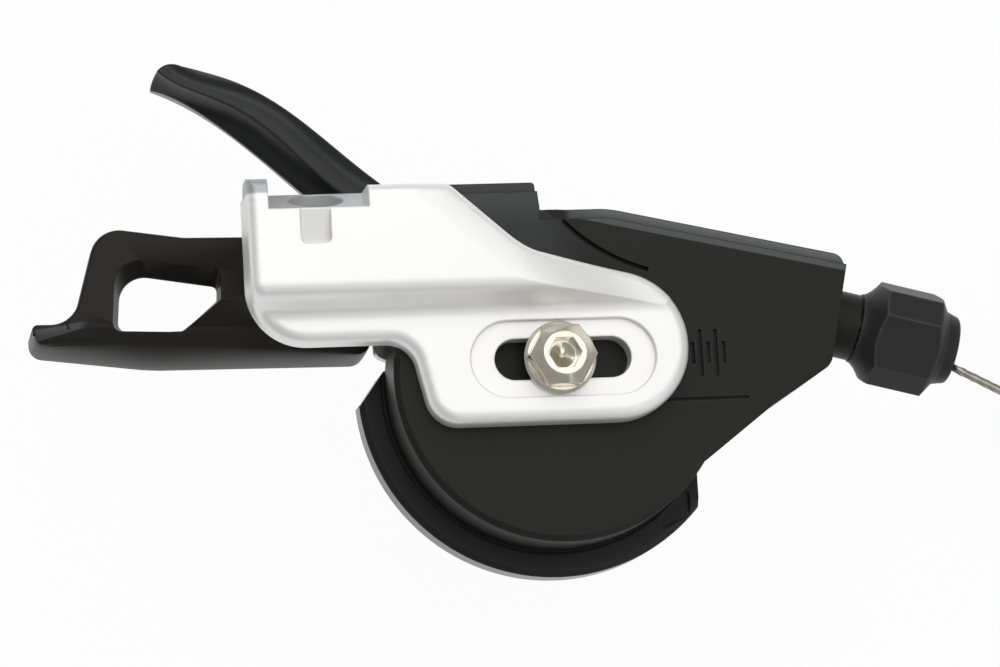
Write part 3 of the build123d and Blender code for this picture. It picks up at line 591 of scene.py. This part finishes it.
def new_piece(name: str, mesh: bpy.types.Mesh, body: Body, material: bpy.types.Material) -> bpy.types.Object:
    """Put a mesh in the scene as a piece that rides on a body.

    Args:
        name: Name of the piece.
        mesh: Its mesh, in the row frame.
        body: Body that it moves with.
        material: Its material.

    Returns:
        The new object.
    """
    made = bpy.data.objects.new(name, mesh)
    bpy.context.collection.objects.link(made)
    mesh.materials.clear()
    mesh.materials.append(material)
    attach(made, body.value)
    log.info("%s: %d faces on %s", name, len(mesh.polygons), body.value)
    return made


def smooth_mesh(name: str, mesh: bmesh.types.BMesh, crease: float | None = None) -> bpy.types.Mesh:
    """Turn an edited mesh into smooth mesh data and free it.

    Args:
        name: Name of the mesh.
        mesh: Edited mesh.
        crease: Angle in degrees above which an edge stays sharp.

    Returns:
        The mesh data.
    """
    bmesh.ops.recalc_face_normals(mesh, faces=mesh.faces)
    data = bpy.data.meshes.new(name)
    mesh.to_mesh(data)
    mesh.free()
    data.shade_smooth()
    if crease is not None:
        data.set_sharp_from_angle(angle=math.radians(crease))
    return data


@dataclass
class Finishes:
    """Materials of the part, each built once."""

    effects: Effects
    made: dict[str, bpy.types.Material] = field(default_factory=dict)

    def get(self, finish: Finish) -> bpy.types.Material:
        """Give a finish's material."""
        if finish.name not in self.made:
            self.made[finish.name] = finish.build(self.effects)
        return self.made[finish.name]

    def dress(self, finish: Finish, *nodes: str) -> None:
        """Give solids that are shown as they are a finish.

        Args:
            finish: Finish of the solids.
            nodes: Names of the solids.
        """
        for node in nodes:
            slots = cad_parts[node].data.materials
            slots.clear()
            slots.append(self.get(finish))
            log.info("%s dressed in %s", node, finish.name)


@dataclass
class BracketSet:
    """Silver clamp bracket with its slot bolt and captive nut."""

    alloy: SatinAlloy = BRACKET_ALLOY
    plated: Metal = BOLT_PLATED
    steel: Metal = PIN_STEEL

    def dress(self, finishes: Finishes) -> None:
        """Give the solids their finishes."""
        finishes.dress(self.alloy, "clamp_bracket")
        finishes.dress(self.plated, "bracket_bolt")
        finishes.dress(self.steel, "mount_nut")


@dataclass
class Housing:
    """Moulded cover over a deeper rim, with the screws that join them."""

    cover: MouldedPlastic = COVER_PLASTIC
    tub: MouldedPlastic = TUB_PLASTIC
    steel: Metal = PIN_STEEL

    def dress(self, finishes: Finishes) -> None:
        """Give the solids their finishes."""
        finishes.dress(self.cover, "upper_cover")
        finishes.dress(self.tub, "lower_cover")
        finishes.dress(self.steel, "cover_screws")


@dataclass
class Mechanism:
    """Plates, axle, ratchet drum, pawls, springs and the cable's run inside the housing."""

    plate: Metal = PLATE_STEEL
    pin: Metal = PIN_STEEL
    pawl: Metal = PAWL_STEEL
    bush: Metal = BUSH_BRASS
    spring: Metal = SPRING_STEEL
    cable: Metal = CABLE_STEEL
    guide: MouldedPlastic = GUIDE_PLASTIC

    def dress(self, finishes: Finishes) -> None:
        """Give the solids their finishes."""
        finishes.dress(self.plate, "top_plate", "base_plate")
        finishes.dress(self.pin, "plate_posts", "main_axle", "axle_nut", "hold_pawl_pin", "feed_pawl_pin",
                       "release_pin")
        finishes.dress(self.pawl, "hold_pawl", "feed_pawl", "cable_drum")
        finishes.dress(self.bush, "axle_bush")
        finishes.dress(self.spring, "drum_spring", "hold_pawl_spring", "lever_spring", "release_spring")
        finishes.dress(self.cable, "inner_cable", "cable_head")
        finishes.dress(self.guide, "cable_guide")


@dataclass
class ThumbLever:
    """Thumb lever: the solid's form with the paddle's near wall rolled back.

    Lengths are in millimetres about the main axle, apart from weld and cut_gap, which are limits of
    the mesh in metres. The roll is full in the middle of the wall and tapers to end_roll at both ends.
    """

    plastic: MouldedPlastic = LEVER_PLASTIC
    roll: float = 3.0
    end_roll: float = 0.3
    ends: tuple[float, float] = (-70.0, -27.0)
    taper: float = 12.0
    low: float = -20.4
    high: float = -11.4
    rows: int = 10
    near_y: float = 9.6
    wall_lean: float = 0.3
    wall_turn: float = 0.2
    weld: float = 1e-6
    cut_gap: float = 1e-7
    flat_angle: float = 2.0
    crease: float = 24.0

    def is_front(self, face: bmesh.types.BMFace) -> bool:
        """Tell whether a face belongs to the paddle's near wall."""
        return (abs(face.normal.z) < self.wall_lean and face.normal.y < self.wall_turn
                and face.calc_center_median().y < at(0, self.near_y, 0).y)

    def roll_front(self, mesh: bmesh.types.BMesh) -> int:
        """Lean the near wall back in a quarter round, most at its top.

        Args:
            mesh: Mesh of the lever.

        Returns:
            The number of vertices moved.
        """
        for row in range(1, self.rows):
            level = self.low + (self.high - self.low) * math.sin(math.pi / 2 * row / self.rows)
            walls = [face for face in mesh.faces if self.is_front(face)]
            parts = {part for face in walls for part in (face, *face.edges, *face.verts)}
            bmesh.ops.bisect_plane(mesh, geom=list(parts), dist=self.cut_gap, plane_co=at(0, 0, level),
                                   plane_no=(0, 0, 1))
        mesh.normal_update()
        inward: dict[bmesh.types.BMVert, Vector] = {}
        for face in mesh.faces:
            if self.is_front(face):
                for vert in face.verts:
                    inward[vert] = inward.get(vert, Vector()) - face.normal
        for vert, way in inward.items():
            place = vert.co / MM - AXLE_AT
            rise = min(1.0, max(0.0, (place.z - self.low) / (self.high - self.low)))
            inside = min(place.x - self.ends[0], self.ends[1] - place.x) / self.taper
            reach = self.end_roll + (self.roll - self.end_roll) * min(1.0, max(0.0, inside))
            lean = reach * (1.0 - math.sqrt(1.0 - rise * rise))
            vert.co += Vector((way.x, way.y, 0.0)).normalized() * lean * MM
        return len(inward)

    def build(self, finishes: Finishes) -> bpy.types.Object:
        """Make the lever with its rolled wall.

        Args:
            finishes: Materials of the part.

        Returns:
            The lever's object.
        """
        mesh = bmesh.new()
        mesh.from_mesh(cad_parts["main_lever"].data)
        bmesh.ops.remove_doubles(mesh, verts=mesh.verts, dist=self.weld)
        bmesh.ops.dissolve_limit(mesh, angle_limit=math.radians(self.flat_angle), verts=mesh.verts, edges=mesh.edges)
        mesh.normal_update()
        moved = self.roll_front(mesh)
        bmesh.ops.triangulate(mesh, faces=mesh.faces)
        data = smooth_mesh("thumb_lever", mesh, self.crease)
        made = new_piece("thumb_lever", data, Body.MAIN_LEVER, finishes.get(self.plastic))
        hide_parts("main_lever")
        log.info("thumb_lever: %d vertices rolled", moved)
        return made


@dataclass
class Levers:
    """Thumb lever on its steel arm, and the horn that lets the cable out."""

    thumb: ThumbLever = field(default_factory=ThumbLever)
    horn: MouldedPlastic = HORN_PLASTIC
    arm: Metal = PLATE_STEEL
    rivet: Metal = PIN_STEEL

    def dress(self, finishes: Finishes) -> None:
        """Give the solids their finishes."""
        finishes.dress(self.thumb.plastic, "main_lever")
        self.thumb.build(finishes)
        finishes.dress(self.horn, "release_lever")
        finishes.dress(self.arm, "lever_plate")
        finishes.dress(self.rivet, "lever_rivets")


@dataclass
class BarrelKnob:
    """Knob of the adjuster: hollow flare, wide and narrow flats, end chamfer and rounded collar.

    Lengths are in millimetres from the knob's start, along its axis and out from it. The bore lists
    its steps from the outer end back to the start.
    """

    plastic: MouldedPlastic = KNOB_PLASTIC
    start: Point = (42.9, 6.27, -8.4)
    lean: float = -15.0
    turn: float = 20.2
    corner_r: float = 7.65
    wide: float = 58.8
    mouth_r: float = 4.8
    flare_len: float = 2.75
    flare_curve: float = 1.6
    chamfer_start: float = 10.35
    chamfer_end: float = 11.9
    collar_r: float = 5.2
    collar_end_r: float = 4.75
    collar_round: float = 0.6
    length: float = 13.9
    bore: tuple[tuple[float, float], ...] = (
        (13.9, 3.1), (4.4, 3.1), (4.4, 2.85), (3.0, 2.85), (3.0, 4.1), (0.0, 4.1))
    wide_steps: int = 10
    narrow_steps: int = 5
    flare_steps: int = 10
    flat_steps: int = 4
    chamfer_steps: int = 3
    round_steps: int = 5
    crease: float = 22.0

    def columns(self) -> list[tuple[float, float]]:
        """List the angle and radius of each line along the flats, corners included."""
        found = []
        for quarter in range(4):
            middle = 90.0 * quarter + self.turn
            sides = ((middle, self.wide, self.wide_steps), (middle + 45.0, 90.0 - self.wide, self.narrow_steps))
            for centre, span, steps in sides:
                across = self.corner_r * math.cos(math.radians(span / 2))
                for step in range(steps):
                    aside = math.radians(span * (step / steps - 0.5))
                    found.append((math.radians(centre) + aside, across / math.cos(aside)))
        return found

    def profile(self, flat_r: float) -> list[tuple[float, float]]:
        """List the outer places along one line as distance along the axis and radius.

        Args:
            flat_r: Radius of the flat on this line.

        Returns:
            Places from the neck's side to the end.
        """
        grow = self.corner_r - self.mouth_r
        meet = self.flare_len * ((flat_r - self.mouth_r) / grow) ** (1 / self.flare_curve)
        leave = self.chamfer_start + (self.corner_r - flat_r) / (self.corner_r - self.collar_r) * (
            self.chamfer_end - self.chamfer_start)
        places = []
        for step in range(self.flare_steps + 1):
            reach = meet * step / self.flare_steps
            places.append((reach, self.mouth_r + grow * (reach / self.flare_len) ** self.flare_curve))
        for step in range(1, self.flat_steps + 1):
            places.append((meet + (leave - meet) * step / self.flat_steps, flat_r))
        for step in range(1, self.chamfer_steps + 1):
            share = step / self.chamfer_steps
            places.append((leave + (self.chamfer_end - leave) * share, flat_r + (self.collar_r - flat_r) * share))
        round_at = self.length - self.collar_round
        for step in range(self.round_steps + 1):
            angle = math.pi / 2 * step / self.round_steps
            places.append((round_at + self.collar_round * math.sin(angle),
                           self.collar_end_r - self.collar_round * (1 - math.cos(angle))))
        return places

    def build(self, finishes: Finishes) -> bpy.types.Object:
        """Make the knob as one closed skin, bore included.

        Args:
            finishes: Materials of the part.

        Returns:
            The knob's object.
        """
        lean = math.radians(self.lean)
        along = Vector((math.cos(lean), math.sin(lean), 0.0))
        aside = Vector((-math.sin(lean), math.cos(lean), 0.0))
        mesh = bmesh.new()
        lines = []
        for angle, flat_r in self.columns():
            out = aside * math.cos(angle) + Vector((0.0, 0.0, 1.0)) * math.sin(angle)
            lines.append([mesh.verts.new(at(*(Vector(self.start) + along * reach + out * radius)))
                          for reach, radius in (*self.profile(flat_r), *self.bore)])
        for line, other in zip(lines, lines[1:] + lines[:1]):
            for row in range(len(line)):
                after = (row + 1) % len(line)
                mesh.faces.new((line[row], line[after], other[after], other[row]))
        data = smooth_mesh("barrel_knob", mesh, self.crease)
        made = new_piece("barrel_knob", data, Body.ADJUSTER, finishes.get(self.plastic))
        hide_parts("adjuster_knob")
        return made


@dataclass
class Adjuster:
    """Barrel adjuster: knob, threaded stem and click spring."""

    knob: BarrelKnob = field(default_factory=BarrelKnob)
    stem: Metal = PIN_STEEL
    spring: Metal = DARK_SPRING

    def dress(self, finishes: Finishes) -> None:
        """Give the solids their finishes."""
        finishes.dress(self.knob.plastic, "adjuster_knob")
        self.knob.build(finishes)
        finishes.dress(self.stem, "adjuster_stem")
        finishes.dress(self.spring, "adjuster_spring")


@dataclass
class ShiftCable:
    """Free gear cable: twisted strands, a hanging start and the tied coil of the rest.

    Lengths are in millimetres about the main axle. The coil's layers are radii, wound from the outside in.
    """

    diameter: float = 1.2
    exit: Point = (55.781, 0.638, -8.4)
    start: tuple[Point, ...] = (
        (61.547, -2.363, -8.4), (68.0, -5.8, -9.3), (73.3, -8.4, -12.9), (77.0, -10.3, -19.4),
        (78.5, -11.0, -27.4))
    coil: Point = (79.5, -0.4, -37.0)
    layers: tuple[float, ...] = (13.4, 12.1, 10.8, 9.5, 8.2)
    row_step: float = 1.3
    rows: int = 5
    points_a_turn: int = 16
    first_angle: float = 150.0
    strands: int = 12
    valley: float = 0.86
    lay_length: float = 12.0
    steps: int = 6

    def route(self) -> list[Vector]:
        """Give the control points of the cable's line.

        Returns:
            Points in the row frame, from the adjuster to the bare end.
        """
        points = [at(*self.exit)] + [at(*point) for point in self.start]
        turn = 2 * math.pi / self.points_a_turn
        spread = 1 / math.cos(turn / 2)
        middle = Vector(self.coil)
        half = (self.rows - 1) / 2
        angle = math.radians(self.first_angle)
        for level, radius in enumerate(self.layers):
            side = -1 if level % 2 == 0 else 1
            reach = radius * spread
            for step in range(self.points_a_turn * self.rows):
                done = min(max(step / self.points_a_turn - 0.5, 0.0), self.rows - 1)
                across = side * (half - done) * self.row_step
                ring = Vector((across, reach * math.cos(angle), reach * math.sin(angle)))
                points.append(at(*(middle + ring)))
                angle += turn
        return points

    def line(self) -> list[Vector]:
        """Read the smooth line of the cable from a NURBS curve on its route.

        Returns:
            Points along the centre line.
        """
        points = self.route()
        data = bpy.data.curves.new("cable_line", "CURVE")
        data.dimensions = "3D"
        spline = data.splines.new("NURBS")
        spline.points.add(len(points) - 1)
        for slot, point in zip(spline.points, points):
            slot.co = (*point, 1.0)
        spline.order_u = 3
        spline.use_endpoint_u = True
        spline.resolution_u = self.steps
        holder = bpy.data.objects.new("cable_line", data)
        mesh = bpy.data.meshes.new_from_object(holder)
        line = [vertex.co.copy() for vertex in mesh.vertices]
        bpy.data.objects.remove(holder)
        bpy.data.meshes.remove(mesh)
        return line

    def build(self, finishes: Finishes) -> bpy.types.Object:
        """Make the twisted cable along its line.

        Args:
            finishes: Materials of the part.

        Returns:
            The cable's object.
        """
        line = self.line()
        crest = self.diameter / 2 * MM
        valley = crest * self.valley
        corners = 2 * self.strands
        mesh = bmesh.new()
        rings = []
        ahead = (line[1] - line[0]).normalized()
        side = ahead.orthogonal().normalized()
        gone = 0.0
        for index, point in enumerate(line):
            before = line[max(index - 1, 0)]
            after = line[min(index + 1, len(line) - 1)]
            ahead = (after - before).normalized()
            side = (side - ahead * side.dot(ahead)).normalized()
            up = ahead.cross(side)
            if index:
                gone += (point - line[index - 1]).length
            twist = 2 * math.pi * gone / (self.lay_length * MM)
            ring = []
            for corner in range(corners):
                angle = twist + math.pi * corner / self.strands
                reach = crest if corner % 2 == 0 else valley
                spot = point + side * (reach * math.cos(angle)) + up * (reach * math.sin(angle))
                ring.append(mesh.verts.new(spot))
            rings.append(ring)
        for first, second in zip(rings, rings[1:]):
            for corner in range(corners):
                ahead_corner = (corner + 1) % corners
                mesh.faces.new((first[corner], first[ahead_corner], second[ahead_corner], second[corner]))
        mesh.faces.new(list(reversed(rings[0])))
        mesh.faces.new(rings[-1])
        data = smooth_mesh("gear_cable", mesh)
        finishes.dress(TIE_PLASTIC, "cable_tie")
        made = new_piece("gear_cable", data, Body.HOUSING, finishes.get(CABLE_STEEL))
        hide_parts("shift_cable", "cable_coil")
        log.info("cable line %.3f m", sum((after - before).length for before, after in zip(line, line[1:])))
        return made


@dataclass(frozen=True)
class Lamp:
    """Soft lamp: place in millimetres about the axle, width and height in metres, power in watts."""

    name: str
    place: Point
    size: tuple[float, float]
    power: float


@dataclass
class Studio:
    """Floor, lights and camera.

    Lengths are in millimetres about the main axle, the floor's side in metres, and the camera's scale
    in pixels a millimetre at the axle.
    """

    floor_z: float = -52.0
    floor_side: float = 4.0
    away: float = 600.0
    scale: float = 7.45
    image: tuple[float, float] = (1000.0, 667.0)
    axle_pixel: tuple[float, float] = (562.0, 373.0)
    look: Point = (0.17, 0.17, -1.0)
    roll: float = 3.4
    sensor: float = 36.0
    dome_low: float = 0.35
    dome_high: float = 0.45
    dome_range: tuple[float, float] = (0.3, 1.05)
    dome_lean: float = 0.7
    floor_tone: float = 0.85
    floor_glow: float = 0.95
    aim: Point = (0.0, 5.0, -8.0)
    lamps: tuple[Lamp, ...] = (
        Lamp("key_lamp", (-260.0, 330.0, 640.0), (0.55, 0.55), 1.0),
        Lamp("top_lamp", (140.0, 150.0, 720.0), (0.6, 0.6), 1.12),
        Lamp("fill_lamp", (330.0, -380.0, 420.0), (0.5, 0.5), 0.6),
        Lamp("back_lamp", (60.0, 480.0, 420.0), (0.6, 0.14), 0.5))

    def floor(self) -> None:
        """Lay a pale floor that looks white to the camera and keeps a soft shadow."""
        side = self.floor_side / 2
        height = at(0, 0, self.floor_z).z
        mesh = bpy.data.meshes.new("floor")
        corners = [(-side, -side, height), (side, -side, height), (side, side, height), (-side, side, height)]
        mesh.from_pydata(corners, [], [(0, 1, 2, 3)])
        floor = bpy.data.objects.new("floor", mesh)
        bpy.context.collection.objects.link(floor)
        material = bpy.data.materials.new("floor_white")
        material.use_nodes = True
        tree = material.node_tree
        tree.nodes.clear()
        diffuse = add_node(tree, "ShaderNodeBsdfDiffuse")
        diffuse.inputs["Color"].default_value = (self.floor_tone, self.floor_tone, self.floor_tone, 1.0)
        glow = add_node(tree, "ShaderNodeEmission")
        mix = add_node(tree, "ShaderNodeMixShader")
        end = add_node(tree, "ShaderNodeOutputMaterial")
        seen = seen_rays(tree)
        share = math_node(tree, "MULTIPLY", seen, self.floor_glow)
        tree.links.new(share, mix.inputs["Fac"])
        tree.links.new(diffuse.outputs["BSDF"], mix.inputs[1])
        tree.links.new(glow.outputs["Emission"], mix.inputs[2])
        tree.links.new(mix.outputs["Shader"], end.inputs["Surface"])
        mesh.materials.append(material)

    def world(self) -> None:
        """Hang a pale dome over the table: bright above, greyer towards the horizon, white to the camera."""
        world = bpy.data.worlds.new("studio")
        bpy.context.scene.world = world
        world.use_nodes = True
        tree = world.node_tree
        tree.nodes.clear()
        place = add_node(tree, "ShaderNodeTexCoord")
        parts = add_node(tree, "ShaderNodeSeparateXYZ")
        tree.links.new(place.outputs["Generated"], parts.inputs["Vector"])
        lean = math_node(tree, "MULTIPLY", parts.outputs["Y"], self.dome_lean)
        height = math_node(tree, "ADD", parts.outputs["Z"], lean)
        fade = add_node(tree, "ShaderNodeMapRange", interpolation_type="SMOOTHSTEP")
        fade.inputs["From Min"].default_value = self.dome_range[0]
        fade.inputs["From Max"].default_value = self.dome_range[1]
        fade.inputs["To Min"].default_value = self.dome_low
        fade.inputs["To Max"].default_value = self.dome_high
        tree.links.new(height, fade.inputs["Value"])
        glow = add_node(tree, "ShaderNodeBackground")
        glow.inputs["Color"].default_value = (1.0, 1.0, 1.0, 1.0)
        tree.links.new(fade.outputs["Result"], glow.inputs["Strength"])
        white = add_node(tree, "ShaderNodeBackground")
        white.inputs["Color"].default_value = (1.0, 1.0, 1.0, 1.0)
        mix = add_node(tree, "ShaderNodeMixShader")
        rays = add_node(tree, "ShaderNodeLightPath")
        tree.links.new(rays.outputs["Is Camera Ray"], mix.inputs["Fac"])
        tree.links.new(glow.outputs["Background"], mix.inputs[1])
        tree.links.new(white.outputs["Background"], mix.inputs[2])
        end = add_node(tree, "ShaderNodeOutputWorld")
        tree.links.new(mix.outputs["Shader"], end.inputs["Surface"])

    def hang(self, lamp: Lamp) -> None:
        """Hang one lamp and point it at the part.

        Args:
            lamp: The lamp's place, size and power.
        """
        data = bpy.data.lights.new(lamp.name, "AREA")
        data.shape = "RECTANGLE"
        data.size, data.size_y = lamp.size
        data.energy = lamp.power
        made = bpy.data.objects.new(lamp.name, data)
        bpy.context.collection.objects.link(made)
        made.location = at(*lamp.place)
        made.rotation_euler = (at(*self.aim) - at(*lamp.place)).to_track_quat("-Z", "Y").to_euler()

    def camera(self) -> None:
        """Set the camera where the photograph was taken."""
        ahead = Vector(self.look).normalized()
        right = ahead.cross(Vector((0.0, 1.0, 0.0))).normalized()
        up = right.cross(ahead)
        tilt = math.radians(self.roll)
        rolled = right * math.cos(tilt) - up * math.sin(tilt)
        upright = right * math.sin(tilt) + up * math.cos(tilt)
        aside = (self.axle_pixel[0] - self.image[0] / 2) / self.scale
        above = -(self.axle_pixel[1] - self.image[1] / 2) / self.scale
        place = -ahead * self.away - rolled * aside - upright * above
        data = bpy.data.cameras.new("camera")
        data.sensor_width = self.sensor
        data.lens = self.sensor * self.away * self.scale / self.image[0]
        data.clip_start = 0.01
        camera = bpy.data.objects.new("camera", data)
        bpy.context.collection.objects.link(camera)
        turn = Matrix((rolled, upright, -ahead)).transposed().to_4x4()
        camera.matrix_world = Matrix.Translation(at(*place)) @ turn
        bpy.context.scene.camera = camera

    def build(self) -> None:
        """Set up the whole studio."""
        bpy.context.scene.view_settings.view_transform = "Standard"
        self.floor()
        self.world()
        for lamp in self.lamps:
            self.hang(lamp)
        self.camera()


def seen_rays(tree: bpy.types.NodeTree) -> bpy.types.NodeSocket:
    """Mask of the rays that show the backdrop: straight, mirrored or through glass.

    Args:
        tree: Material's node tree.

    Returns:
        Socket that is 1 on those rays.
    """
    rays = add_node(tree, "ShaderNodeLightPath")
    first = math_node(tree, "MAXIMUM", rays.outputs["Is Camera Ray"], rays.outputs["Is Glossy Ray"])
    return math_node(tree, "MAXIMUM", first, rays.outputs["Is Transmission Ray"])


def main() -> None:
    """Dress the part, lay its cable and set up the studio."""
    logging.basicConfig(level=logging.INFO, format="%(name)s: %(message)s")
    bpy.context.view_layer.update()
    Studio().build()
    finishes = Finishes(Effects())
    for group in (BracketSet(), Housing(), Mechanism(), Levers(), Adjuster()):
        group.dress(finishes)
    ShiftCable().build(finishes)


if __name__ == "__main__":
    main()
